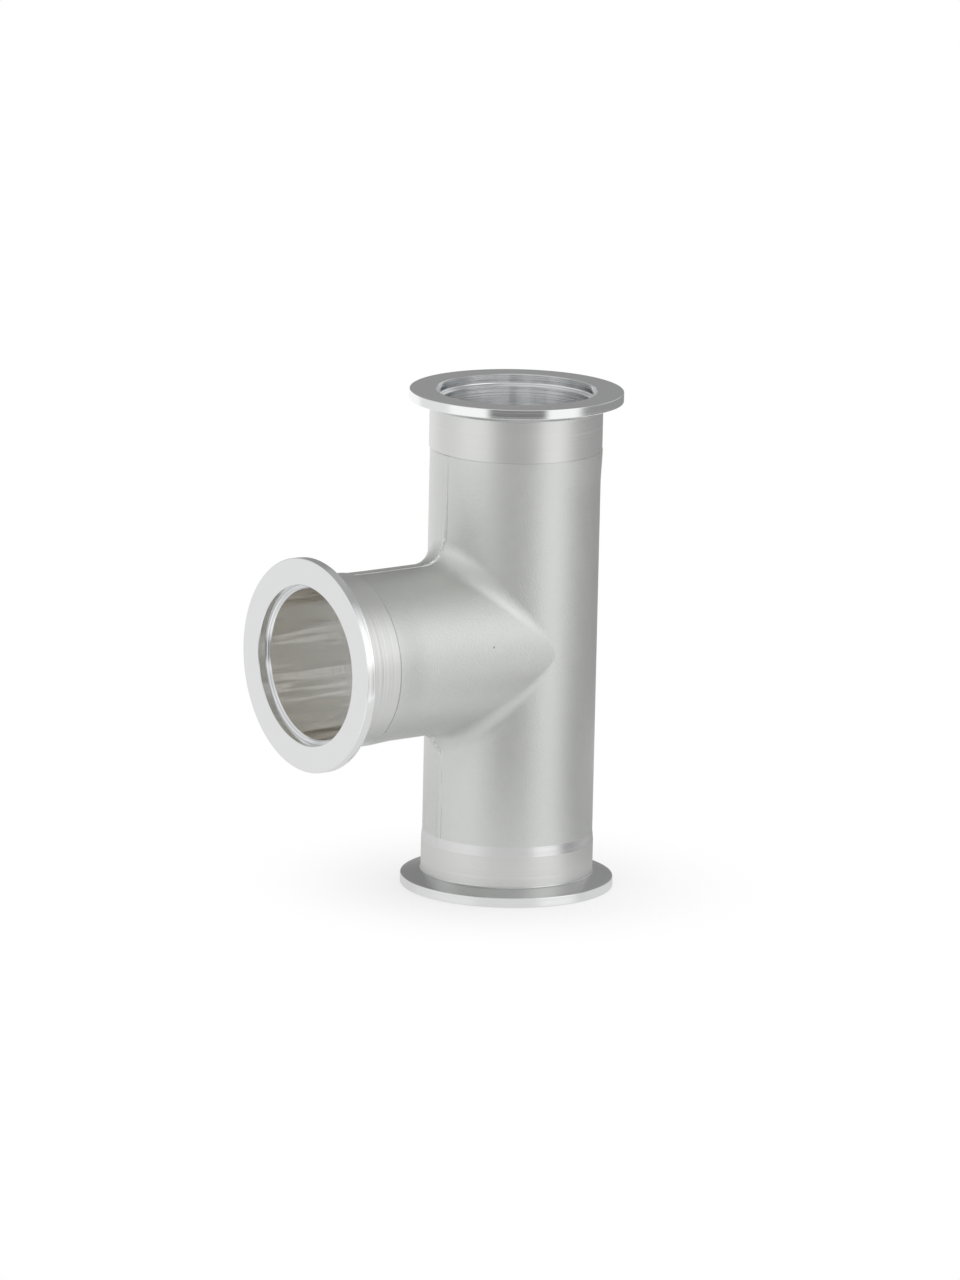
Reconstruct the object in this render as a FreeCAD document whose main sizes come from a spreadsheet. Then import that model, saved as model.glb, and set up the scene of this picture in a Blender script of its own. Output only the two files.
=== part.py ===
import FreeCAD, Part
import Sketcher
import math
import os

# Small-flange vacuum tee: one aluminium casting, turned at its three ends.
# The run stands along Z on its foot's sealing face at z = 0, and the branch points along X.

doc = FreeCAD.newDocument("FlangeTee")

# Driving sizes in mm and degrees: alias, value, meaning
sizeRows = [
    ("footArm", 65.0, "foot sealing face to branch axis"),
    ("headArm", 65.0, "branch axis to head sealing face"),
    ("branchArm", 65.0, "run axis to branch sealing face"),
    ("boreDiameter", 39.0, "clear bore of run and branch"),
    ("wallThickness", 2.5, "cast wall of run and branch"),
    ("branchStep", 0.1, "how much less the branch's radii are than the run's, skin and bore"),
    ("flangeDiameter", 55.0, "rim of each flange"),
    ("rimThickness", 2.5, "straight edge of each flange"),
    ("coneAngle", 15.0, "slope of the clamping cone behind each flange"),
    ("rimBreak", 0.2, "chamfer round both sides of each rim"),
    ("coneRoot", 0.45, "bevel left where a cone meets its collar"),
    ("collarStep", 0.25, "height of a turned collar above the cast skin"),
    ("footCollar", 12.0, "turned length at the foot, from its face"),
    ("headCollar", 14.8, "turned length at the head, from its face"),
    ("branchCollar", 14.0, "turned length at the branch, from its face"),
    ("taperLength", 2.6, "run-out from the foot's collar to the cast skin"),
    ("ledgeWidth", 1.1, "ledge between the recess wall and the run's bore"),
    ("recessDepth", 2.6, "centring recess below each sealing face"),
    ("recessCorner", 0.3, "bevel left at the recess floor"),
    ("mouthBreak", 0.15, "chamfer at the recess mouth"),
    ("boreBreak", 0.35, "chamfer from the ledge into the bore"),
    ("saddleRadius", 6.2, "cast fillet round the saddle"),
    ("ridgeWidth", 1.2, "parting ridge from side to side"),
    ("ridgeHeight", 0.12, "parting ridge above the cast skin"),
    ("ridgeLap", 1.0, "parting ridge carried in under each turned collar"),
]
sizes = doc.addObject("Spreadsheet::Sheet", "Sizes")
for row, (alias, value, meaning) in enumerate(sizeRows, start=1):
    sizes.set(f"A{row}", meaning)
    sizes.set(f"B{row}", str(value))
    sizes.setAlias(f"B{row}", alias)
doc.recompute()

# Sizes that follow from the driving ones
boreRadius = "Sizes.boreDiameter / 2"
castRadius = f"({boreRadius} + Sizes.wallThickness)"
branchRadius = f"({castRadius} - Sizes.branchStep)"
branchBoreRadius = f"({boreRadius} - Sizes.branchStep)"
collarRadius = f"({castRadius} + Sizes.collarStep)"
recessRadius = f"({boreRadius} + Sizes.ledgeWidth)"
flangeRadius = "Sizes.flangeDiameter / 2"
slope = "(Sizes.coneAngle * 1 deg)"
coneBack = f"Sizes.rimThickness + ({flangeRadius} - {collarRadius}) * tan({slope})"
runLength = "Sizes.footArm + Sizes.headArm"

nearEnough = 0.001  # how close an edge lies to the place it is looked for

body = doc.addObject("PartDesign::Body", "TeeBody")
body.Label = "tee_body"


def valueOf(expression):
    # present value of an expression on the sheet
    return float(sizes.evalExpression(expression))


# Sketches: a corner is (name, size across, size along), measured from the sketch's origin

def addSketch(name, raisedBy=None):
    # on the body's XZ plane, with its origin on the foot's face or raised along the run
    sketch = body.newObject("Sketcher::SketchObject", name)
    plane = next(item for item in body.Origin.OriginFeatures if item.Role == "XZ_Plane")
    sketch.AttachmentSupport = [(plane, "")]
    sketch.MapMode = "FlatFace"
    if raisedBy:
        sketch.setExpression("AttachmentOffset.Base.y", raisedBy)
    return sketch


def bindSize(sketch, name, kind, geometry, vertex, size):
    constraint = Sketcher.Constraint(f"Distance{kind}", -1, 1, geometry, vertex, valueOf(size))
    sketch.renameConstraint(sketch.addConstraint(constraint), f"{name}{kind}")
    sketch.setExpression(f"Constraints.{name}{kind}", size)


def bindCorner(sketch, name, geometry, vertex, across, along):
    # a size of nought puts the corner on the sketch's own axis
    for kind, size, sketchAxis in (("X", across, -2), ("Y", along, -1)):
        if size == "0":
            sketch.addConstraint(Sketcher.Constraint("PointOnObject", geometry, vertex, sketchAxis))
        else:
            bindSize(sketch, name, kind, geometry, vertex, size)


def shortArc(start, finish, centre):
    # the shorter arc between two points, and whether it runs from finish to start
    startAngle = math.atan2(start.y - centre.y, start.x - centre.x)
    finishAngle = math.atan2(finish.y - centre.y, finish.x - centre.x)
    backwards = (finishAngle - startAngle) % (2 * math.pi) > math.pi
    if backwards:
        startAngle, finishAngle = finishAngle, startAngle
    circle = Part.Circle(centre, FreeCAD.Vector(0, 0, 1), (start - centre).Length)
    return Part.ArcOfCircle(circle, startAngle, finishAngle), backwards


def addOutline(sketch, corners, arcs=None):
    # a closed outline; arcs gives the centre of each edge that leaves its corner as an arc
    arcs = arcs or {}
    edges = []
    for index, corner in enumerate(corners):
        following = corners[(index + 1) % len(corners)]
        start, finish = [FreeCAD.Vector(valueOf(c[1]), valueOf(c[2]), 0) for c in (corner, following)]
        centre = arcs.get(corner[0])
        backwards = False
        if centre:
            middle = FreeCAD.Vector(valueOf(centre[0]), valueOf(centre[1]), 0)
            edge, backwards = shortArc(start, finish, middle)
        else:
            edge = Part.LineSegment(start, finish)
        sketch.addGeometry(edge, False)
        edges.append((centre, 2 if backwards else 1, 1 if backwards else 2))
    for index, (name, across, along) in enumerate(corners):
        before = (index - 1) % len(corners)
        centre, startVertex, _ = edges[index]
        joined = Sketcher.Constraint("Coincident", before, edges[before][2], index, startVertex)
        sketch.addConstraint(joined)
        bindCorner(sketch, name, index, startVertex, across, along)
        if centre:
            bindSize(sketch, f"{name}Centre", "X", index, 3, centre[0])


# Turned ports: all three are cut to one form, written as (name, radius, depth below the face)

def onSlope(size):
    # a length up the cone, as its radial and axial parts
    return f"{size} * cos({slope})", f"{size} * sin({slope})"


def flangeForm(port, collar):
    # outside of a port, from its axis over the rim and down the cone to the collar's end
    alongCone, acrossCone = onSlope("Sizes.rimBreak")
    alongRoot, acrossRoot = onSlope("Sizes.coneRoot")
    return [
        (f"{port}Axis", "0", "0"),
        (f"{port}Face", f"{flangeRadius} - Sizes.rimBreak", "0"),
        (f"{port}RimFront", flangeRadius, "Sizes.rimBreak"),
        (f"{port}RimBack", flangeRadius, "Sizes.rimThickness - Sizes.rimBreak"),
        (f"{port}ConeTop", f"{flangeRadius} - {alongCone}", f"Sizes.rimThickness + {acrossCone}"),
        (f"{port}ConeFoot", f"{collarRadius} + {alongRoot}", f"{coneBack} - {acrossRoot}"),
        (f"{port}Collar", collarRadius, f"{coneBack} + Sizes.coneRoot"),
        (f"{port}CollarEnd", collarRadius, collar),
    ]


def mouthForm(port, bore):
    # inside of a port, from its axis over the recess and its ledge into the bore
    return [
        (f"{port}Axis", "0", "0"),
        (f"{port}Mouth", f"{recessRadius} + Sizes.mouthBreak", "0"),
        (f"{port}Wall", recessRadius, "Sizes.mouthBreak"),
        (f"{port}WallFoot", recessRadius, "Sizes.recessDepth - Sizes.recessCorner"),
        (f"{port}Floor", f"{recessRadius} - Sizes.recessCorner", "Sizes.recessDepth"),
        (f"{port}Ledge", f"{bore} + Sizes.boreBreak", "Sizes.recessDepth"),
        (f"{port}Bore", bore, "Sizes.recessDepth + Sizes.boreBreak"),
    ]


def onFoot(radius, depth):
    return radius, depth


def onHead(radius, depth):
    return radius, f"{runLength} - ({depth})"


def onBranch(radius, depth):
    return f"Sizes.branchArm - ({depth})", radius


def placed(form, onPort):
    # a port's form in the coordinates of its sketch
    return [(name, *onPort(radius, depth)) for name, radius, depth in form]


# Features: each recomputes the document, so that the next one can find its edges

def addTurned(kind, name, sketch, sketchAxis):
    # a full turn of an outline, added as a Revolution or cut as a Groove
    before = body.Tip.Shape.Volume if body.Tip else 0
    feature = body.newObject(f"PartDesign::{kind}", name)
    feature.Profile = (sketch, [""])
    feature.ReferenceAxis = (sketch, [sketchAxis])
    feature.Angle = 360
    doc.recompute()
    changed = feature.Shape.Volume - before
    if changed * (-1 if kind == "Groove" else 1) <= 0:
        raise RuntimeError(f"{name} changed nothing")


def saddleEdges(solid):
    # names of the edges that lie on both cast barrels
    names = []
    for number, edge in enumerate(solid.Shape.Edges, start=1):
        points = edge.discretize(7)
        fromRun = [math.hypot(p.x, p.y) for p in points]
        fromBranch = [math.hypot(p.y, p.z - valueOf("Sizes.footArm")) for p in points]
        offRun = max(abs(distance - valueOf(castRadius)) for distance in fromRun)
        offBranch = max(abs(distance - valueOf(branchRadius)) for distance in fromBranch)
        if offRun < nearEnough and offBranch < nearEnough:
            names.append(f"Edge{number}")
    return names


# The run: flange, collar and taper at the foot, cast barrel, collar and flange at the head
runSketch = addSketch("RunOutline")
runCorners = placed(flangeForm("foot", "Sizes.footCollar"), onFoot)
runCorners.append(("footSkin", castRadius, "Sizes.footCollar + Sizes.taperLength"))
runCorners.append(("headSkin", *onHead(castRadius, "Sizes.headCollar")))
runCorners += reversed(placed(flangeForm("head", "Sizes.headCollar"), onHead))
addOutline(runSketch, runCorners)
addTurned("Revolution", "Run", runSketch, "V_Axis")

# The branch: a cast barrel from the run's axis out to its own collar and flange
branchSketch = addSketch("BranchOutline", "Sizes.footArm")
branchCorners = placed(flangeForm("branch", "Sizes.branchCollar"), onBranch)
branchCorners.append(("branchSkin", *onBranch(branchRadius, "Sizes.branchCollar")))
branchCorners.append(("branchRoot", "0", branchRadius))
branchCorners.append(("rootAxis", "0", "0"))
addOutline(branchSketch, branchCorners)
addTurned("Revolution", "Branch", branchSketch, "H_Axis")

# The saddle: a rolling-ball fillet where the branch grows out of the run
barrels = body.Tip
saddle = body.newObject("PartDesign::Fillet", "SaddleFillet")
saddle.Base = (barrels, saddleEdges(barrels))
saddle.setExpression("Radius", "Sizes.saddleRadius")
doc.recompute()

# The parting ridge: a web in the casting's middle plane that just breaks its skin.
# It follows the barrels and the saddle's two crotches, and ends under the turned collars.
ridgeAcross = f"{castRadius} + Sizes.ridgeHeight"
ridgeAlong = f"{branchRadius} + Sizes.ridgeHeight"
crotchAcross = f"{castRadius} + Sizes.saddleRadius"
crotchAlong = f"{branchRadius} + Sizes.saddleRadius"
ridgeFoot = "-(Sizes.footArm - Sizes.footCollar + Sizes.ridgeLap)"
ridgeHead = "Sizes.headArm - Sizes.headCollar + Sizes.ridgeLap"
ridgeTip = "Sizes.branchArm - Sizes.branchCollar + Sizes.ridgeLap"
ridgeSketch = addSketch("RidgeOutline", "Sizes.footArm")
addOutline(ridgeSketch, [
    ("footBack", f"-({ridgeAcross})", ridgeFoot),
    ("footFront", ridgeAcross, ridgeFoot),
    ("lowerCrotch", ridgeAcross, f"-({crotchAlong})"),
    ("lowerSide", crotchAcross, f"-({ridgeAlong})"),
    ("lowerTip", ridgeTip, f"-({ridgeAlong})"),
    ("upperTip", ridgeTip, ridgeAlong),
    ("upperSide", crotchAcross, ridgeAlong),
    ("upperCrotch", ridgeAcross, crotchAlong),
    ("headFront", ridgeAcross, ridgeHead),
    ("headBack", f"-({ridgeAcross})", ridgeHead),
], {
    "lowerCrotch": (crotchAcross, f"-({crotchAlong})"),
    "upperSide": (crotchAcross, crotchAlong),
})
ridge = body.newObject("PartDesign::Pad", "PartingRidge")
ridge.Profile = (ridgeSketch, [""])
ridge.SideType = "Symmetric"
ridge.setExpression("Length", "Sizes.ridgeWidth")
doc.recompute()

# The passages: a bore with a centring recess at each face, through the run and up the branch
runPassage = addSketch("RunPassageOutline")
passageCorners = placed(mouthForm("foot", boreRadius), onFoot)
passageCorners += reversed(placed(mouthForm("head", boreRadius), onHead))
addOutline(runPassage, passageCorners)
addTurned("Groove", "RunPassage", runPassage, "V_Axis")
branchPassage = addSketch("BranchPassageOutline", "Sizes.footArm")
passageCorners = placed(mouthForm("branch", branchBoreRadius), onBranch)
passageCorners.append(("boreRoot", "0", branchBoreRadius))
passageCorners.append(("rootAxis", "0", "0"))
addOutline(branchPassage, passageCorners)
addTurned("Groove", "BranchPassage", branchPassage, "H_Axis")

# Nothing is written unless every feature holds and the tee is one sound solid
failed = [item.Name for item in doc.Objects if "Invalid" in item.State or "Error" in item.State]
if failed:
    raise RuntimeError(f"failed features: {failed}")
tee = body.Shape
if tee.isNull() or not tee.isValid() or len(tee.Solids) != 1:
    raise RuntimeError("the tee is not one valid solid")
os.makedirs("parts", exist_ok=True)
tee.exportStep(f"parts/{body.Label}.step")
print(f"{body.Label}: {tee.Volume / 1000:.2f} cm3, {len(tee.Faces)} faces")
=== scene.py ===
import math

import bmesh
import bpy
import numpy as np
from mathutils import Matrix, Vector


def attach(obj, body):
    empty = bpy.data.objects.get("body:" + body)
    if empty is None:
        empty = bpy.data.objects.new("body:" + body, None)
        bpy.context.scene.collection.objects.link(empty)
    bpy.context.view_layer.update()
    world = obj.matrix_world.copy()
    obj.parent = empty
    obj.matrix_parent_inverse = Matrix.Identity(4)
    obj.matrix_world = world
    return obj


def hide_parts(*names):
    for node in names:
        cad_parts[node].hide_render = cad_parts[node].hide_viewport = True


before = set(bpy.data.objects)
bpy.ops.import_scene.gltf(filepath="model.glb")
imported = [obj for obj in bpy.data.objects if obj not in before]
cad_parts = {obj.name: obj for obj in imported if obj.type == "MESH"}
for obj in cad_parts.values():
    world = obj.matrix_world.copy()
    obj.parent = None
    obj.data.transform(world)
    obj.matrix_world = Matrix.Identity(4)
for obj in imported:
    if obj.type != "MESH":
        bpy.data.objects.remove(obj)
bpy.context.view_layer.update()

# A cast aluminium tee for small-flange vacuum lines, turned at its three ends.
# It stands on the foot's sealing face at the origin; the run goes up Z and the branch goes out along X.

metre = 0.001  # shapes are worked out in millimetres

scene = bpy.context.scene


# Camera: the photograph's own viewpoint, a long lens from a little above the tee

cameraPlace = {
    "azimuth": 143.391,
    "elevation": 12.547,
    "roll": 1.267,
    "distance": 2458.5,
    "target": (0, 0, 65),
    "targetPixel": (511.413, 637.163),  # where the target stands in the photograph
    "imageSize": (960, 1280),
    "focalPixels": 9548.5,
    "sensor": 36,
}


def placeCamera(place):
    azimuth, elevation, roll = (math.radians(place[key]) for key in ("azimuth", "elevation", "roll"))
    back = Vector((math.sin(azimuth) * math.cos(elevation),
                   -math.cos(azimuth) * math.cos(elevation),
                   math.sin(elevation)))
    level = Vector((math.cos(azimuth), math.sin(azimuth), 0))
    upright = back.cross(level)
    right = math.cos(roll) * level + math.sin(roll) * upright
    up = -math.sin(roll) * level + math.cos(roll) * upright
    # turn the camera so that the target falls on its own pixel and not on the middle one
    width, height = place["imageSize"]
    yaw = math.atan2(place["targetPixel"][0] - width / 2, place["focalPixels"])
    pitch = math.atan2(place["targetPixel"][1] - height / 2, place["focalPixels"])
    xAxis = math.cos(yaw) * right - math.sin(yaw) * back
    aside = math.sin(yaw) * right + math.cos(yaw) * back
    yAxis = math.cos(pitch) * up + math.sin(pitch) * aside
    zAxis = -math.sin(pitch) * up + math.cos(pitch) * aside
    data = bpy.data.cameras.new("camera")
    data.sensor_width = place["sensor"]
    data.lens = place["focalPixels"] * place["sensor"] / height
    camera = bpy.data.objects.new("camera", data)
    scene.collection.objects.link(camera)
    turned = Matrix((xAxis, yAxis, zAxis)).transposed().to_4x4()
    spot = (Vector(place["target"]) + back * place["distance"]) * metre
    camera.matrix_world = Matrix.Translation(spot) @ turned
    scene.camera = camera


placeCamera(cameraPlace)
print("camera placed")


# The tee's surface: every part of it is a stack of rings, and neighbouring stacks share a ring

teeSizes = {
    "arm": 65.0,  # from the crossing of the axes to each sealing face
    "runSkin": 22.0,
    "branchSkin": 21.9,
    "runBore": 19.5,
    "branchBore": 19.4,
    "saddle": 6.2,  # radius of the ball that rolls round the crossing of the two skins
    "footCollar": 12.0,
    "headCollar": 14.8,
    "branchCollar": 14.0,
    "taper": 2.6,
    "ridgeHalfWidth": 0.85,
    "ridgeHeight": 0.12,
    "widthWander": 0.09,  # how unevenly the ridge is dressed, as shares of its width and height
    "heightWander": 0.15,
    "crookBead": 0.9,  # the file can't reach into the crooks, where the ridge stays this much higher
    "crookBeadWidth": 0.62,  # of the ridge's width
    "crookBeadWander": 0.21,
    "crookShare": 0.3,  # how far out from the skins' corner the bead is centred, of the saddle's radius
    "crookReach": 3.2,
    "lipReach": 9.0,  # the skin stands a little off the lathe's axis where it meets a collar
    "lipTurn": math.radians(-45),  # the side on which the collar stands proud
    "lipEven": 0.1,
    "lipSway": 0.2,
    "grooveDepth": 0.14,  # the tool's mark where a collar ends
    "grooveWidth": 0.24,
    "grooveFloor": (0.2, 0.8),  # where its floor starts and ends, as shares of its width
}

ridgeWaves = {
    # waves along the ridge, each with its size, its radians per millimetre and its start
    "width": ((1.0, 0.37, 1.0), (0.6, 0.93, 0.4)),
    "height": ((1.0, 1.9, 2.0), (0.5, 3.7, 0.0)),
    "outwards": 0.9,  # a millimetre out along X counts for this many up Z
}

portSizes = {
    "rim": 27.5,
    "rimThickness": 2.5,
    "rimBreak": 0.2,
    "coneSlope": math.radians(15),
    "coneRoot": 0.45,
    "collar": 22.25,
    "recess": 20.6,
    "recessDepth": 2.6,
    "recessCorner": 0.4,
    "mouthBreak": 0.15,
    "boreBreak": 0.35,
    "coneBehind": 2.0,  # how far behind the rim the cone's finish ends, and where it starts
    "rimBehind": 0.06,
}

gridSizes = {
    "ridgeStep": 0.4,  # degrees between columns over the parting ridge
    "ridgeColumns": 8,
    "growth": 1.4,
    "widestStep": 1.8,
    "barrelRows": 30,
    "saddleRows": 18,
    "boreRows": 6,
    "faceRings": 6,
    "arcTurn": math.radians(13),  # most that a turned arc may bend from ring to ring
    "support": 0.05,  # extra ring beside each edge, which keeps the shading flat up to it
    "barrelSupport": 0.004,  # the same, as shares of a barrel's length and a face's width
    "faceSupport": 0.01,
    "taperShares": (0.03, 0.5, 0.97),  # where the rings of the taper lie
    "weld": 0.002,
    "sharpFrom": math.radians(18),
}

# how far from both axes the bead in a crook is centred
crookCorner = teeSizes["runSkin"] + teeSizes["crookShare"] * teeSizes["saddle"]

# finishes of the surface, in the order of the materials
(skinZone, collarZone, taperZone, coneZone, flangeZone, recessZone, boreZone,
 branchCollarZone, branchConeZone, branchFlangeZone, branchRecessZone, branchBoreZone) = range(12)


def quarterShares():
    # shares of a quarter turn out from the parting plane: even steps over the ridge, then wider ones
    g = gridSizes
    grown = np.maximum(np.arange(math.ceil(90 / g["ridgeStep"])) - g["ridgeColumns"], 0)
    steps = np.minimum(g["ridgeStep"] * g["growth"] ** grown, g["widestStep"])
    angles = np.concatenate([[0], np.cumsum(steps)])
    last = np.searchsorted(angles, 90)
    return angles[:last + 1] / angles[last]


def crossing(angles, runRadius, branchRadius):
    # where a cylinder along X cuts one along Z: for an angle from Z towards Y round the branch,
    # Y is its sine times the branch's radius, and X closes the run's circle over that Y
    across = branchRadius * np.sin(angles)
    return np.sqrt(runRadius ** 2 - across ** 2), across


quarter = quarterShares()
frontAngles = np.concatenate([-quarter[::-1], quarter[1:]]) * math.pi / 2
branchAngles = np.concatenate([frontAngles, math.pi - frontAngles[-2:0:-1]])


def runAngles(runRadius, branchRadius):
    # columns of the run: those that meet the branch, then the ones round its back
    ahead, across = crossing(frontAngles, runRadius, branchRadius)
    front = np.arctan2(across, ahead)
    back = quarter * (math.pi - front[-1])
    return np.concatenate([front, math.pi - back[-2:0:-1], [math.pi], math.pi + back[1:-1]])


def halfHeights(branchRadius, columns):
    # how far above the branch's axis each column of the run meets the branch, nought round the back
    heights = np.zeros(columns)
    heights[:len(frontAngles)] = branchRadius * np.cos(frontAngles)
    return heights


def runRing(angles, radius, height):
    # a ring round Z: cosine and sine of the angle times the radius, at a height
    radius, height = (np.broadcast_to(value, angles.shape) for value in (radius, height))
    return np.stack([radius * np.cos(angles), radius * np.sin(angles), height], axis=-1)


def branchRing(angles, radius, reach):
    # a ring round the branch's axis, at a reach along X
    radius, reach = (np.broadcast_to(value, angles.shape) for value in (radius, reach))
    height = teeSizes["arm"] + radius * np.cos(angles)
    return np.stack([reach, radius * np.sin(angles), height], axis=-1)


def rowShares(count, support):
    # shares from 0 to 1, with one more just inside each end
    return np.concatenate([[0, support], np.linspace(0, 1, count + 1)[1:-1], [1 - support, 1]])


def ridgeWave(along, kind):
    # a sum of sines of the place along the ridge
    return sum(size * np.sin(along * pace + start) for size, pace, start in ridgeWaves[kind])


def ridgeRelief(points):
    # height of the parting ridge over the skin: a flat-topped rise in Y, one over one plus the eighth
    # power of Y over its half width, with waves in its width and height. On it in the crooks is a bead,
    # one over one plus a cube, that falls off as a bell curve of the distance from its centre
    t = teeSizes
    along = points[..., 0] * ridgeWaves["outwards"] + points[..., 2]
    quick = ridgeWave(along, "height")
    halfWidth = t["ridgeHalfWidth"] * (1 + t["widthWander"] * ridgeWave(along, "width"))
    height = t["ridgeHeight"] * (1 + t["heightWander"] * quick)
    away = np.hypot(points[..., 0] - crookCorner, np.abs(points[..., 2] - t["arm"]) - crookCorner)
    fall = np.exp(-0.5 * (away / t["crookReach"]) ** 2)
    bead = t["crookBead"] * (1 + t["crookBeadWander"] * quick) * fall
    return (height / (1 + (points[..., 1] / halfWidth) ** 8)
            + bead / (1 + np.abs(points[..., 1] / (t["crookBeadWidth"] * halfWidth)) ** 3))


def raised(points, normals):
    # the skin with its ridge: each point moved outwards by the relief there
    return points + normals * ridgeRelief(points)[..., None]


def lipRise(angles, skin, fromEnd):
    # how far the skin grows near a collar: over the last of its length a smooth step, up to the
    # collar's radius less a step that is largest on one side, a constant plus a cosine of the angle
    # from that side
    t = teeSizes
    share = np.clip(1 - np.broadcast_to(fromEnd, angles.shape) / t["lipReach"], 0, 1)
    step = t["lipEven"] + t["lipSway"] * np.cos(angles - t["lipTurn"])
    return (portSizes["collar"] - step - skin) * share ** 2 * (3 - 2 * share)


def grooveRings(ring, angles, skin, end):
    # the tool's mark between the skin's end and the collar: down, a narrow floor, and up to the collar
    t = teeSizes
    lip = skin + lipRise(angles, skin, 0)
    floor = np.minimum(lip, portSizes["collar"]) - t["grooveDepth"]
    floorStart, floorEnd = t["grooveFloor"]
    return [ring(angles, radius, end - (1 - share) * t["grooveWidth"])
            for radius, share in ((lip, 0.0), (floor, floorStart), (floor, floorEnd))]


def outerProfile(collarLength):
    # (radius, depth below the face) from the collar's end over cone and rim to the face
    p = portSizes
    sine, cosine = math.sin(p["coneSlope"]), math.cos(p["coneSlope"])

    def conePoint(radius):
        return p["rimThickness"] + (p["rim"] - radius) * math.tan(p["coneSlope"])

    rootRadius = p["collar"] + p["coneRoot"]
    rootDepth = conePoint(rootRadius) + p["coneRoot"] / cosine
    breakRadius = p["rim"] - p["rimBreak"]
    breakDepth = conePoint(breakRadius) - p["rimBreak"] / cosine
    coneTurn = math.pi / 2 - p["coneSlope"]
    return joined(
        straight((p["collar"], collarLength), (p["collar"], rootDepth)),
        arc((rootRadius, rootDepth), p["coneRoot"], math.pi, math.pi + coneTurn),
        straight((rootRadius - p["coneRoot"] * sine, rootDepth - p["coneRoot"] * cosine),
                 (breakRadius + p["rimBreak"] * sine, breakDepth + p["rimBreak"] * cosine)),
        arc((breakRadius, breakDepth), p["rimBreak"], coneTurn, 0),
        straight((p["rim"], breakDepth), (p["rim"], p["rimBreak"])),
        arc((breakRadius, p["rimBreak"]), p["rimBreak"], 0, -math.pi / 2),
    )


def innerProfile(bore):
    # (radius, depth) from the recess's mouth over its wall, corner and ledge into the bore
    p = portSizes
    cornerRadius = p["recess"] - p["recessCorner"]
    cornerDepth = p["recessDepth"] - p["recessCorner"]
    return joined(
        straight((p["recess"] + p["mouthBreak"], 0), (p["recess"], p["mouthBreak"])),
        straight((p["recess"], p["mouthBreak"]), (p["recess"], cornerDepth)),
        arc((cornerRadius, cornerDepth), p["recessCorner"], 0, math.pi / 2),
        straight((cornerRadius, p["recessDepth"]), (bore + p["boreBreak"], p["recessDepth"])),
        straight((bore + p["boreBreak"], p["recessDepth"]), (bore, p["recessDepth"] + p["boreBreak"])),
    )


def straight(start, end):
    # a line in the profile, with a support point beside each end where it is long enough
    start, end = np.array(start, float), np.array(end, float)
    share = gridSizes["support"] / np.linalg.norm(end - start)
    shares = [0, share, 0.5, 1 - share, 1] if share < 0.25 else [0, 1]
    return start + np.outer(shares, end - start)


def arc(centre, radius, startAngle, endAngle):
    count = max(3, math.ceil(abs(endAngle - startAngle) / gridSizes["arcTurn"]))
    angles = np.linspace(startAngle, endAngle, count + 1)
    return np.array(centre) + radius * np.stack([np.cos(angles), np.sin(angles)], axis=-1)


def joined(*pieces):
    # pieces of a profile end to end, each shared point once
    return np.concatenate([pieces[0]] + [piece[1:] for piece in pieces[1:]])


def portRings(ring, place, outerAngles, innerAngles, collarLength, bore):
    # all rings of a turned port, from its collar's end to the top of its bore, with a number from
    # 0 to 3 for each step from ring to ring: collar, cone, flange or recess
    outside = outerProfile(collarLength)
    inside = innerProfile(bore)
    rings = [ring(outerAngles, radius, place(depth)) for radius, depth in outside]
    coneEnd, coneStart = (portSizes["rimThickness"] + portSizes[key]
                          for key in ("coneBehind", "rimBehind"))
    zones = [1 if depth < coneEnd else 0 for radius, depth in outside if depth > coneStart]
    # the flat face: radius and angle both go evenly from the rim's columns to the bore's
    for share in rowShares(gridSizes["faceRings"], gridSizes["faceSupport"])[1:-1]:
        angles = outerAngles + share * (innerAngles - outerAngles)
        radius = outside[-1][0] + share * (inside[0][0] - outside[-1][0])
        rings.append(ring(angles, radius, place(0)))
    zones += [2] * (len(rings) - len(zones))
    rings += [ring(innerAngles, radius, place(depth)) for radius, depth in inside]
    zones += [3] * (len(rings) - 1 - len(zones))
    return rings, zones


def runPath(toHead):
    # from the branch's level down (or up) the barrel, over the port and back up the bore
    t = teeSizes
    columns = len(skinAngles)
    way = 1 if toHead else -1
    collar = t["headCollar"] if toHead else t["footCollar"]

    def place(depth):
        return t["arm"] + way * (t["arm"] - depth)

    skinStart = t["arm"] + way * halfHeights(t["branchSkin"] + t["saddle"], columns)
    skinEnd = place(collar if toHead else collar + t["taper"])
    normals = runRing(skinAngles, 1, 0)
    rings, zones = [], []
    barrelEnd = skinEnd - t["grooveWidth"] if toHead else skinEnd
    for share in rowShares(gridSizes["barrelRows"], gridSizes["barrelSupport"]):
        height = skinStart + share * (barrelEnd - skinStart)
        lip = lipRise(skinAngles, t["runSkin"], barrelEnd - height) if toHead else 0
        rings.append(raised(runRing(skinAngles, t["runSkin"] + lip, height), normals))
    zones += [skinZone] * (len(rings) - 1)
    # the collar's end: a tool mark at the head, and at the foot a taper that the ridge runs out on
    port, portZones = portRings(runRing, place, skinAngles, boreAngles, collar, t["runBore"])
    if toHead:
        rings += grooveRings(runRing, skinAngles, t["runSkin"], skinEnd)
        zones += [collarZone] * 4
    else:
        skinLast = rings[-1]
        rings += [skinLast * (1 - share) + port[0] * share for share in gridSizes["taperShares"]]
        zones += [taperZone] * 4
    rings += port
    zones += [(collarZone, coneZone, flangeZone, recessZone)[zone] for zone in portZones]
    boreEnd = t["arm"] + way * halfHeights(t["branchBore"], columns)
    boreStart = port[-1][:, 2]
    for share in np.linspace(0, 1, gridSizes["boreRows"] + 1)[1:]:
        rings.append(runRing(boreAngles, t["runBore"], boreStart + share * (boreEnd - boreStart)))
        zones.append(boreZone)
    return np.array(rings), zones, not toHead


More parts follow.
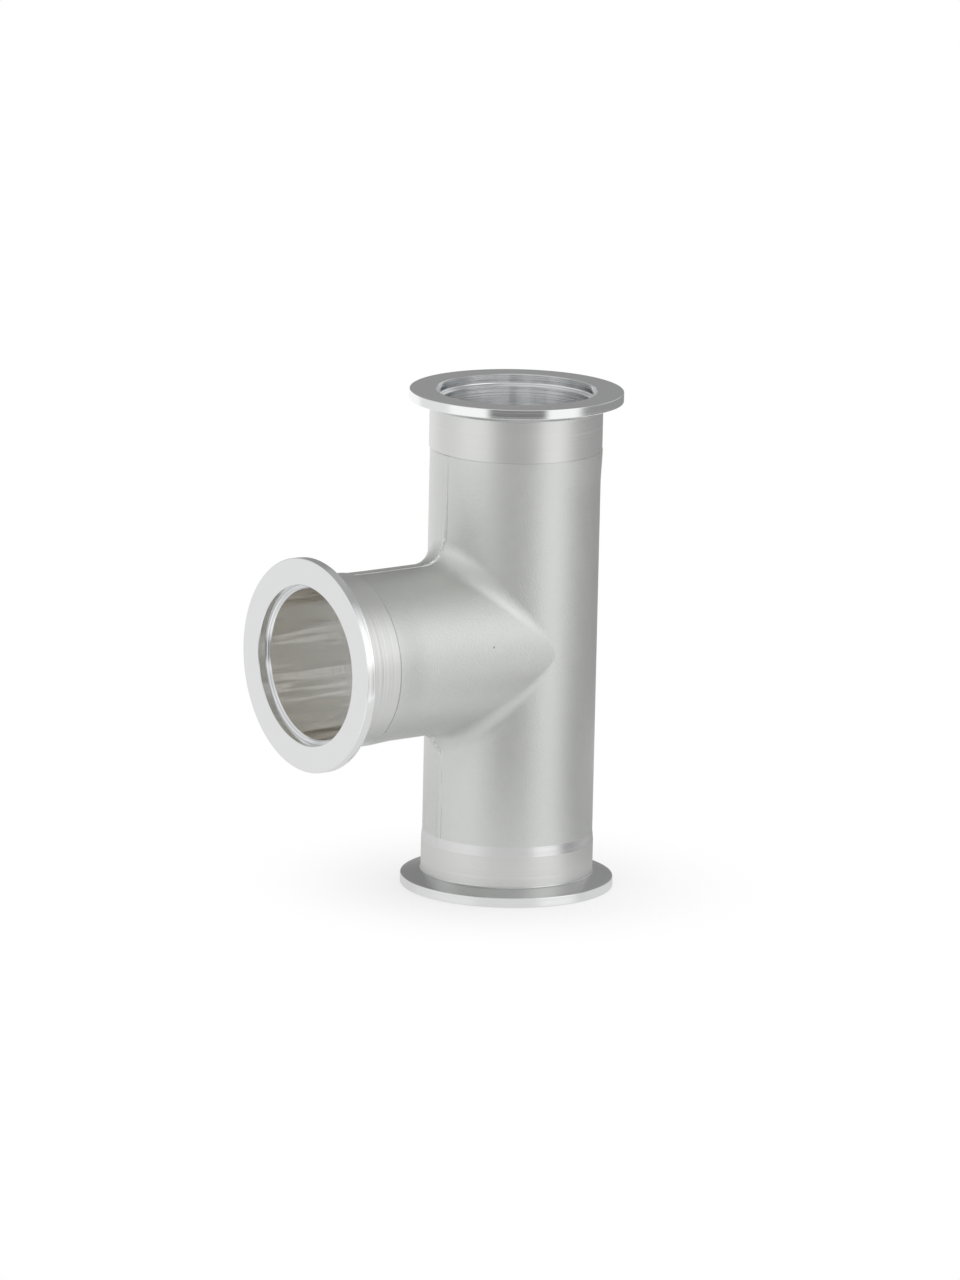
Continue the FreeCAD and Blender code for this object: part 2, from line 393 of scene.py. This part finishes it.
def saddleRings():
    # the ball's centre runs where the two skins, each grown by its radius, would cross. Across the
    # saddle the ball's surface turns evenly from its touch on the run to its touch on the branch
    t = teeSizes
    ahead, across = crossing(branchAngles, t["runSkin"] + t["saddle"], t["branchSkin"] + t["saddle"])
    up = (t["branchSkin"] + t["saddle"]) * np.cos(branchAngles)
    centre = np.stack([ahead, across, up], axis=-1)
    toRun = -centre * (1, 1, 0) / (t["runSkin"] + t["saddle"])
    toBranch = -centre * (0, 1, 1) / (t["branchSkin"] + t["saddle"])
    turn = np.arccos(np.clip((toRun * toBranch).sum(axis=-1), -1, 1))[:, None]
    rings = []
    for share in np.linspace(0, 1, gridSizes["saddleRows"] + 1):
        towards = (np.sin((1 - share) * turn) * toRun + np.sin(share * turn) * toBranch) / np.sin(turn)
        bare = centre + t["saddle"] * towards + (0, 0, t["arm"])
        rings.append(raised(bare, -towards))
    return rings, ahead


def branchPath():
    # over the saddle, out along the barrel, over the port and back along the bore
    t = teeSizes
    rings, reach = saddleRings()
    normals = branchRing(branchAngles, 1, 0) - (0, 0, t["arm"])
    skinEnd = t["arm"] - t["branchCollar"]
    barrelEnd = skinEnd - t["grooveWidth"]
    for share in rowShares(gridSizes["barrelRows"], gridSizes["barrelSupport"])[1:]:
        out = reach + share * (barrelEnd - reach)
        lip = lipRise(branchAngles, t["branchSkin"], barrelEnd - out)
        rings.append(raised(branchRing(branchAngles, t["branchSkin"] + lip, out), normals))
    zones = [skinZone] * (len(rings) - 1) + [branchCollarZone] * 4
    rings += grooveRings(branchRing, branchAngles, t["branchSkin"], skinEnd)
    port, portZones = portRings(branchRing, lambda depth: t["arm"] - depth, branchAngles, branchAngles,
                                t["branchCollar"], t["branchBore"])
    rings += port
    zones += [(branchCollarZone, branchConeZone, branchFlangeZone, branchRecessZone)[zone]
              for zone in portZones]
    boreEnd, _ = crossing(branchAngles, t["runBore"], t["branchBore"])
    boreStart = port[-1][:, 0]
    for share in np.linspace(0, 1, gridSizes["boreRows"] + 1)[1:]:
        out = boreStart + share * (boreEnd - boreStart)
        rings.append(branchRing(branchAngles, t["branchBore"], out))
        zones.append(branchBoreZone)
    return np.array(rings), zones, True


def ringFaces(rows, columns, first, turnedOver):
    # four-sided faces between each ring and the next, numbered from first
    index = first + np.arange(rows * columns).reshape(rows, columns)
    beside = np.roll(index, -1, axis=1)
    faces = np.stack([index[:-1], beside[:-1], beside[1:], index[1:]], axis=-1).reshape(-1, 4)
    return faces[:, ::-1] if turnedOver else faces


def makeTee(paths, materials):
    points, faces, zones = [], [], []
    for rings, ringZones, turnedOver in paths:
        rows, columns, _ = rings.shape
        faces.append(ringFaces(rows, columns, sum(len(part) for part in points), turnedOver))
        points.append(rings.reshape(-1, 3))
        zones.append(np.repeat(ringZones, columns))
    mesh = bpy.data.meshes.new("tee_casting")
    mesh.from_pydata(np.concatenate(points) * metre, [], np.concatenate(faces).tolist())
    for material in materials:
        mesh.materials.append(material)
    mesh.polygons.foreach_set("material_index", np.concatenate(zones).astype(np.int32))
    mesh.polygons.foreach_set("use_smooth", np.ones(len(mesh.polygons), bool))
    welded = bmesh.new()
    welded.from_mesh(mesh)
    bmesh.ops.remove_doubles(welded, verts=welded.verts, dist=gridSizes["weld"] * metre)
    welded.to_mesh(mesh)
    welded.free()
    mesh.set_sharp_from_angle(angle=gridSizes["sharpFrom"])
    tee = bpy.data.objects.new("tee_casting", mesh)
    scene.collection.objects.link(tee)
    return tee


skinAngles = runAngles(teeSizes["runSkin"] + teeSizes["saddle"],
                       teeSizes["branchSkin"] + teeSizes["saddle"])
boreAngles = runAngles(teeSizes["runBore"], teeSizes["branchBore"])


# Shader maths: a wire is one output of a node, and sums and products of wires add Math nodes

class Wire:
    def __init__(self, shader, socket):
        self.shader = shader
        self.socket = socket

    def maths(self, operation, first, second=None):
        inputs = {0: first} if second is None else {0: first, 1: second}
        return self.shader.add("ShaderNodeMath", {"operation": operation}, inputs)

    def __add__(self, other):
        return self.maths("ADD", self, other)

    def __sub__(self, other):
        return self.maths("SUBTRACT", self, other)

    def __rsub__(self, other):
        return self.maths("SUBTRACT", other, self)

    def __mul__(self, other):
        return self.maths("MULTIPLY", self, other)

    def __truediv__(self, other):
        return self.maths("DIVIDE", self, other)

    def __abs__(self):
        return self.maths("ABSOLUTE", self)

    __radd__ = __add__
    __rmul__ = __mul__

    def largest(self, other):
        return self.maths("MAXIMUM", self, other)


class Shader:
    # the node tree of a material or of the world
    def __init__(self, owner):
        owner.use_nodes = True
        self.tree = owner.node_tree
        self.tree.nodes.clear()

    def add(self, kind, settings=None, inputs=None, output=0):
        # one node: its settings first, then the values or wires of its sockets
        node = self.tree.nodes.new(kind)
        for name, value in (settings or {}).items():
            setattr(node, name, value)
        for key, value in (inputs or {}).items():
            if isinstance(value, Wire):
                self.tree.links.new(value.socket, node.inputs[key])
            else:
                node.inputs[key].default_value = value
        return Wire(self, node.outputs[output]) if node.outputs else node

    def vector(self, operation, first, second=None, output=0):
        inputs = {0: first} if second is None else {0: first, 1: second}
        return self.add("ShaderNodeVectorMath", {"operation": operation}, inputs, output)

    def scaled(self, vector, factor):
        return self.add("ShaderNodeVectorMath", {"operation": "SCALE"}, {
            "Vector": vector, "Scale": factor})

    def ramp(self, value, low, high, start=0.0, end=1.0):
        # a smooth step from start to end as the value goes from low to high
        return self.add("ShaderNodeMapRange", {"interpolation_type": "SMOOTHSTEP"}, {
            "Value": value, "From Min": low, "From Max": high, "To Min": start, "To Max": end})

    def blend(self, factor, first, second):
        # colours mixed by a factor; the node's sockets 6 and 7 are its colours, and its output 2 theirs
        return self.add("ShaderNodeMix", {"data_type": "RGBA"}, {
            "Factor": factor, 6: first, 7: second}, output=2)

    def noise(self, place, scale, detail=2.0, roughness=0.5):
        return self.add("ShaderNodeTexNoise", {"noise_dimensions": "3D"}, {
            "Vector": place, "Scale": scale, "Detail": detail, "Roughness": roughness})

    def rings(self, profile, pitch, detail):
        # noise along a turned profile, the same all the way round
        return self.add("ShaderNodeTexNoise", {"noise_dimensions": "1D"}, {
            "W": profile, "Scale": 1 / (pitch * metre), "Detail": detail, "Roughness": 0.65})

    def place(self):
        return self.add("ShaderNodeTexCoord", output="Object")

    def parts(self, vector):
        # the three components of a vector
        split = self.add("ShaderNodeSeparateXYZ", None, {"Vector": vector}).socket.node
        return [Wire(self, split.outputs[axis]) for axis in "XYZ"]


def rgb(red, green, blue):
    return (red, green, blue, 1.0)


def grey(tone):
    return rgb(tone, tone, tone)


# Cast skin: fine matt grit, faint mottling, a dressed strip beside the parting ridge, and painted shade
# in lines at the ridge's foot

castFinish = {
    "colour": (0.745, 0.755, 0.735),
    "darker": (0.70, 0.712, 0.692),
    "shadeSpread": 0.9,  # how far grit and mottling each move the colour between the two
    "roughness": 0.42,
    "roughnessSpread": 0.06,
    "gritSize": 0.42,
    "gritDepth": 0.08,
    "mottleSize": 2.5,
    "dressed": (2.24, 3.2),  # how far from the parting plane the filed strip fades out
    "dressedShine": 0.05,
    "scratchSize": (9.0, 0.18),  # of its file marks, along the ridge and across it
    "scratchDepth": 0.05,
    "edges": {0.95: 0.4, -1.1: 0.2},  # where the lines of painted shade beside the ridge run, and how dark
    "edgeSide": (0.2, 0.06),  # how far from its middle such a line starts, and where it is full
    "edgeLength": 6.0,  # of the waves that bend these lines and break them up
    "edgeBend": 0.7,
    "edgeShows": (0.3, 0.6),
    "edgeFrom": (24.0, 34.0),  # from this far above and below the branch's axis they show
    "paintedShadeAndPitGrey": (0.25, 0.25, 0.24),  # the grey of the painted shade in these lines, which also darkens the pit
    "beadReach": (1.5, 6.5),  # how far from its centre the bead in a crook shines
    "beadSide": (0.45, 0.75),
    "beadShine": 0.2,
    "beadLumps": 0.7,
    "beadDepth": 0.3,
    "wall": (0.55, 0.85),  # how far from the parting plane the side of the ridge starts and ends
    "wallFrom": (25.0, 30.0),
    "wallHeight": 0.3,
    "pit": (21.35, 21.54, 68.94),  # a small casting pit on the branch
    "pitSide": (0.35, 0.105),
    "pitDark": 0.7,
    "pitDepth": 0.1,
}


def castSkin(finish):
    material = bpy.data.materials.new("cast_skin")
    s = Shader(material)
    place = s.place()
    x, y, z = (part / metre for part in s.parts(place))
    aside = abs(y)
    level = abs(z - teeSizes["arm"])
    grit = s.noise(place, 1 / (finish["gritSize"] * metre), 3.0, 0.6)
    mottle = s.noise(place, 1 / (finish["mottleSize"] * metre), 3.0, 0.55)
    # file marks run along the ridge: noise squeezed across it and drawn out along it
    drawnOut, squeezed = (1 / (size * metre) for size in finish["scratchSize"])
    drawn = s.vector("MULTIPLY", place, (drawnOut, squeezed, drawnOut))
    scratches = s.noise(drawn, 1.0, 2.0, 0.6)
    dressed = s.ramp(aside, *finish["dressed"], 1.0, 0.0)
    pitCentre = tuple(value * metre for value in finish["pit"])
    pitAway = s.vector("DISTANCE", place, pitCentre, output="Value")
    pit = s.ramp(pitAway, *(value * metre for value in finish["pitSide"]))
    shade = (mottle - 0.5) * finish["shadeSpread"] + (grit - 0.5) * finish["shadeSpread"] + 0.5
    colour = s.blend(shade, rgb(*finish["darker"]), rgb(*finish["colour"]))
    # painted shade: dark lines in the angle at the foot of the ridge, stronger on one side, broken up
    # along their length
    inPlane = s.vector("MULTIPLY", place, (1, 0, 1))
    waver = s.noise(inPlane, 1 / (finish["edgeLength"] * metre), 2.0, 0.5)
    beyond = s.ramp(level, *finish["edgeFrom"])
    dark = pit * finish["pitDark"]
    for edgePlace, depth in finish["edges"].items():
        edgeAway = abs(y - edgePlace - (waver - 0.5) * finish["edgeBend"])
        edge = s.ramp(edgeAway, *finish["edgeSide"])
        dark = dark.largest(edge * s.ramp(waver, *finish["edgeShows"]) * beyond * depth)
    # the painted shade of these lines, with the darkened pit, goes into the colour here
    colour = s.blend(dark, colour, rgb(*finish["paintedShadeAndPitGrey"]))
    # the bead in the crooks was left as it came from the mould: shiny and lumpy
    fromCorner = s.add("ShaderNodeCombineXYZ", None, {0: x - crookCorner, 1: level - crookCorner})
    cornerAway = s.vector("LENGTH", fromCorner, output="Value")
    bead = (s.ramp(cornerAway, *finish["beadReach"], 1.0, 0.0)
            * s.ramp(aside, *finish["beadSide"], 1.0, 0.0))
    lumps = s.noise(place, 1 / (finish["beadLumps"] * metre), 1.0, 0.5)
    roughness = (finish["roughness"] + (mottle - 0.5) * finish["roughnessSpread"]
                 - dressed * finish["dressedShine"] - bead * finish["beadShine"])
    # out along the branch the sides of the ridge stand steep and catch the light
    wall = s.ramp(x, *finish["wallFrom"]) * s.ramp(aside, *finish["wall"], 1.0, 0.0)
    height = (grit * finish["gritDepth"] + dressed * scratches * finish["scratchDepth"]
              + bead * lumps * finish["beadDepth"] + wall * finish["wallHeight"]
              - pit * finish["pitDepth"]) * metre
    bump = s.add("ShaderNodeBump", None, {"Strength": 1.0, "Distance": 1.0, "Height": height})
    shader = s.add("ShaderNodeBsdfPrincipled", None, {
        "Base Color": colour, "Metallic": 1.0, "Roughness": roughness, "Normal": bump})
    s.add("ShaderNodeOutputMaterial", None, {"Surface": shader})
    return material


# Turned metal: the tool leaves fine rings round the port's axis, which spread highlights along it

turnedFinishes = {
    # tilt and pitch belong to the fine rings and feed to the broad ones that the eye can make out,
    # lean is how far the tool's marks face the port's mouth, and sway belongs to a bore's streaks
    "collar": {"colour": (0.76, 0.768, 0.755), "roughness": 0.40, "tilt": 0.08, "pitch": 0.22,
               "feed": 0.05, "lean": 0.0, "sway": 0.0},
    "taper": {"colour": (0.78, 0.785, 0.78), "roughness": 0.22, "tilt": 0.06, "pitch": 0.12,
              "feed": 0.02, "lean": 0.0, "sway": 0.0},
    "cone": {"colour": (0.63, 0.635, 0.635), "roughness": 0.27, "tilt": 0.10, "pitch": 0.12,
             "feed": 0.02, "lean": 0.0, "sway": 0.0},
    "flange": {"colour": (0.90, 0.905, 0.905), "roughness": 0.13, "tilt": 0.13, "pitch": 0.10,
               "feed": 0.03, "lean": 0.0, "sway": 0.0},
    "recess": {"colour": (0.84, 0.85, 0.86), "roughness": 0.08, "tilt": 0.20, "pitch": 0.10,
               "feed": 0.0, "lean": 0.03, "sway": 0.0},
    "bore": {"colour": (0.85, 0.858, 0.862), "roughness": 0.07, "tilt": 0.30, "pitch": 0.09,
             "feed": 0.0, "lean": 0.03, "sway": 0.3},
}
# the branch's bore was cut with another tool: a little warmer and duller, and drawn into streaks
branchBore = {"colour": (0.902, 0.888, 0.856), "roughness": 0.13, "tilt": 0.22, "sway": 1.0}

# the skin ran a little off the lathe's axis, so the foot's taper is cut bright on one side only
taperSides = {
    "brightTowards": math.radians(126),
    "from": (0.35, 0.72),  # cosines of the angle from that side between which it turns bright
    "mattRoughness": 0.4,
}

turnedMarks = {
    "noiseGain": 4,  # noise keeps near the middle of its range, and this brings a tilt to its full size
    "feedPitch": 0.8,
    "leanOver": 1.0,  # how far from the axes' crossing the marks have turned to face their own mouth
    "swayWidth": 3.2,
    "swayLength": 45.0,
}


def turnedMetal(name, finish, axis, centre):
    # each ring tips the surface a little along the profile, by a random amount of its own,
    # and in a bore long streaks tip it round the axis as well
    material = bpy.data.materials.new(name)
    s = Shader(material)
    place = s.place()
    fromCentre = s.vector("SUBTRACT", place, tuple(value * metre for value in centre))
    along = s.vector("DOT_PRODUCT", fromCentre, axis, output="Value")
    radial = s.vector("SUBTRACT", fromCentre, s.scaled(axis, along))
    radius = s.vector("LENGTH", radial, output="Value")
    profile = along + radius
    normal = s.add("ShaderNodeNewGeometry", output="Normal")
    around = s.vector("NORMALIZE", s.vector("CROSS_PRODUCT", axis, radial))
    uphill = s.vector("CROSS_PRODUCT", around, normal)
    rings = s.rings(profile, finish["pitch"], 3.0)
    waves = s.rings(profile, turnedMarks["feedPitch"], 1.0)
    tilt, feed = (finish[key] * turnedMarks["noiseGain"] for key in ("tilt", "feed"))
    tip = (rings - 0.5) * tilt + (waves - 0.5) * feed
    if finish["lean"]:
        over = turnedMarks["leanOver"] * metre
        tip = tip + s.ramp(along, -over, over, -finish["lean"], finish["lean"])
    tipped = s.vector("ADD", normal, s.scaled(uphill, tip))
    if finish["sway"]:
        drawn = s.vector("ADD", s.scaled(radial, 1 / (turnedMarks["swayWidth"] * metre)),
                         s.scaled(axis, along / (turnedMarks["swayLength"] * metre)))
        streaks = s.noise(drawn, 1.0, 2.0, 0.6)
        tipped = s.vector("ADD", tipped, s.scaled(around, (streaks - 0.5) * finish["sway"]))
    roughness = finish["roughness"]
    if name == "run_taper":
        side = (math.cos(taperSides["brightTowards"]), math.sin(taperSides["brightTowards"]), 0)
        facing = s.vector("DOT_PRODUCT", s.vector("NORMALIZE", radial), side, output="Value")
        roughness = s.ramp(facing, *taperSides["from"], taperSides["mattRoughness"], roughness)
    shader = s.add("ShaderNodeBsdfPrincipled", None, {
        "Base Color": rgb(*finish["colour"]), "Metallic": 1.0, "Roughness": roughness,
        "Normal": s.vector("NORMALIZE", tipped)})
    s.add("ShaderNodeOutputMaterial", None, {"Surface": shader})
    return material


axesCrossing = (0, 0, teeSizes["arm"])
teeMaterials = [castSkin(castFinish)]
for line, axis in (("run", (0, 0, 1)), ("branch", (1, 0, 0))):
    for part, finish in turnedFinishes.items():
        if line == "branch" and part == "bore":
            finish = {**finish, **branchBore}
        if line == "run" or part != "taper":
            teeMaterials.append(turnedMetal(f"{line}_{part}", finish, axis, axesCrossing))

tee = makeTee([runPath(False), runPath(True), branchPath()], teeMaterials)
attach(tee, "root")
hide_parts("tee_body")
print(f"tee made: {len(tee.data.polygons)} faces")


# Studio: a white sweep all round, which metal shows as the camera does, with grey flags in front of it
# and one soft panel that is a little brighter than it

studio = {
    "light": 1.0,
    "flags": [
        # azimuths and elevations that a flag covers, how soft its edges are, and its grey, in the order
        # in which they stand in front of each other; the panel is the last
        {"azimuths": (-180, 180), "elevations": (36, 90), "edge": 4, "edgeTall": 12, "tone": 0.72},
        {"azimuths": (-112, -64), "elevations": (14, 90), "edge": 8, "edgeTall": 10, "tone": 0.45},
        {"azimuths": (-73, -25), "elevations": (-90, 12), "edge": 7, "edgeTall": 10, "tone": 0.8},
        {"azimuths": (-122, -36), "elevations": (2, 16), "edge": 7, "edgeTall": 6, "tone": 0.55},
        {"azimuths": (20, 88), "elevations": (8, 60), "edge": 8, "edgeTall": 8, "tone": 0.62},
        {"azimuths": (24, 86), "elevations": (-90, -27), "edge": 5, "edgeTall": 8, "tone": 0.9},
        {"azimuths": (24, 86), "elevations": (-27, 0), "edge": 5, "edgeTall": 8, "tone": 0.2},
        {"azimuths": (127, 238), "elevations": (-20, 90), "edge": 8, "edgeTall": 8, "tone": 0.4},
        {"azimuths": (134, 225), "elevations": (-20, 1), "edge": 8, "edgeTall": 7, "tone": 0.3},
        {"azimuths": (225, 252), "elevations": (2, 90), "edge": 4, "edgeTall": 6, "tone": 0.3},
        {"azimuths": (150, 208), "elevations": (10, 36), "edge": 8, "edgeTall": 6, "tone": 0.7},
        {"azimuths": (88, 156), "elevations": (24, 58), "edge": 8, "edgeTall": 8, "tone": 0.72},
        {"azimuths": (93, 134), "elevations": (4, 52), "edge": 8, "edgeTall": 8, "tone": 1.3},
    ],
}


def flagCover(s, level, height, flag):
    # how far a flag covers a direction: a smooth step at each of its sides, and at its foot and head
    first, last = flag["azimuths"]
    half = (last - first) / 2
    cover = 1.0
    if half < 180:
        middle = math.radians((first + last) / 2)
        facing = s.vector("DOT_PRODUCT", level, (math.cos(middle), math.sin(middle), 0), output="Value")
        cover = s.ramp(facing, math.cos(math.radians(min(half + flag["edge"], 180))),
                       math.cos(math.radians(half - flag["edge"])))
    foot, head = flag["elevations"]
    tall = flag["edgeTall"]
    if foot > -90:
        cover = cover * s.ramp(height, *(math.sin(math.radians(foot + step)) for step in (-tall, tall)))
    if head < 90:
        cover = cover * s.ramp(height, *(math.sin(math.radians(head + step)) for step in (tall, -tall)))
    return cover


def flaggedSweep(s, towards):
    # the sweep and its flags as metal sees them, by the compass direction and the height of a ray
    level = s.vector("NORMALIZE", s.vector("MULTIPLY", towards, (1, 1, 0)))
    height = s.parts(towards)[2]
    seen = grey(1)
    for flag in studio["flags"]:
        seen = s.blend(flagCover(s, level, height, flag), seen, grey(flag["tone"]))
    return seen


def rayKinds(s, *names):
    # outputs of Light Path, 1 for a ray of that kind
    rays = s.add("ShaderNodeLightPath").socket.node
    return [Wire(s, rays.outputs[name]) for name in names]


def makeStudio():
    world = bpy.data.worlds.new("studio")
    scene.world = world
    s = Shader(world)
    towards = s.add("ShaderNodeTexCoord", output="Generated")
    isCamera, isGlossy, isTransmission = rayKinds(
        s, "Is Camera Ray", "Is Glossy Ray", "Is Transmission Ray")
    # the camera looks past the flags at the white sweep
    seen = s.blend(isCamera, flaggedSweep(s, towards), grey(1))
    shown = isCamera.largest(isGlossy).largest(isTransmission)
    colour = s.blend(shown, grey(studio["light"]), seen)
    background = s.add("ShaderNodeBackground", None, {"Color": colour, "Strength": 1.0})
    s.add("ShaderNodeOutputWorld", None, {"Surface": background})
    world.cycles.sampling_method = "NONE"


makeStudio()


# Floor: plain and pale, with the tee's shadow, fading into the white beyond it. Metal sees it as a
# duller grey glow under a satin coat, with a painted shadow behind the foot

floorSizes = {
    "centre": (-25.0, -25.0),  # it reaches further behind the tee than in front of it
    "radius": 150.0,
    "fade": (22.0, 72.0),
    "tone": 0.96,
    "shadow": 0.5,  # how much of the tee's shadow the camera sees on it
    "corners": 96,
    "gloss": 1.5,  # index of refraction of its satin coat
    "glossRoughness": 0.3,
    "litTone": 0.73,  # what metal sees of it: an even grey glow, and a painted shadow behind the foot that stands for the tee's own shade there
    "shadeTone": 0.34,
    "shadeTowards": math.radians(178),
    "shadeFrom": (22.0, 48.0),  # how far out that way the painted shadow comes in, and where it fades again
    "shadeTo": (105.0, 125.0),
}


def makeFloor(sizes):
    around = np.linspace(0, 2 * math.pi, sizes["corners"], endpoint=False)
    centre = np.array([*sizes["centre"], 0.0])
    ring = centre + sizes["radius"] * np.stack([np.cos(around), np.sin(around), 0 * around], axis=-1)
    mesh = bpy.data.meshes.new("floor")
    mesh.from_pydata(ring * metre, [], [list(range(sizes["corners"]))])
    material = bpy.data.materials.new("floor")
    s = Shader(material)
    away = s.vector("LENGTH", s.place(), output="Value")
    near, far = (value * metre for value in sizes["fade"])
    matt = s.add("ShaderNodeBsdfDiffuse", None, {"Color": grey(sizes["tone"])})
    white, lit, unlit = (s.add("ShaderNodeEmission", None, {"Color": grey(tone), "Strength": 1.0})
                         for tone in (1, sizes["litTone"], sizes["shadeTone"]))
    plain = s.add("ShaderNodeMixShader", None, {
        0: s.ramp(away, near, far, 1 - sizes["shadow"], 1.0), 1: matt, 2: white})
    # a painted shadow that only metal sees: a patch of darker glow on the floor behind the foot, in
    # place of the tee's own shade
    shadeSide = (math.cos(sizes["shadeTowards"]), math.sin(sizes["shadeTowards"]), 0)
    outwards = s.vector("DOT_PRODUCT", s.place(), shadeSide, output="Value")
    shade = (s.ramp(outwards, *(value * metre for value in sizes["shadeFrom"]))
             * s.ramp(outwards, *(value * metre for value in sizes["shadeTo"]), 1.0, 0.0))
    under = s.add("ShaderNodeMixShader", None, {0: shade, 1: lit, 2: unlit})
    coat = s.add("ShaderNodeBsdfGlossy", None, {
        "Color": grey(1), "Roughness": sizes["glossRoughness"]})
    satin = s.add("ShaderNodeMixShader", None, {
        0: s.add("ShaderNodeFresnel", None, {"IOR": sizes["gloss"]}), 1: under, 2: coat})
    isGlossy, = rayKinds(s, "Is Glossy Ray")
    both = s.add("ShaderNodeMixShader", None, {0: isGlossy, 1: plain, 2: satin})
    s.add("ShaderNodeOutputMaterial", None, {"Surface": both})
    mesh.materials.append(material)
    floor = bpy.data.objects.new("floor", mesh)
    scene.collection.objects.link(floor)


makeFloor(floorSizes)
scene.view_settings.view_transform = "Standard"
scene.cycles.glossy_bounces = 12  # light goes round the bores many times
print("stage and light set")
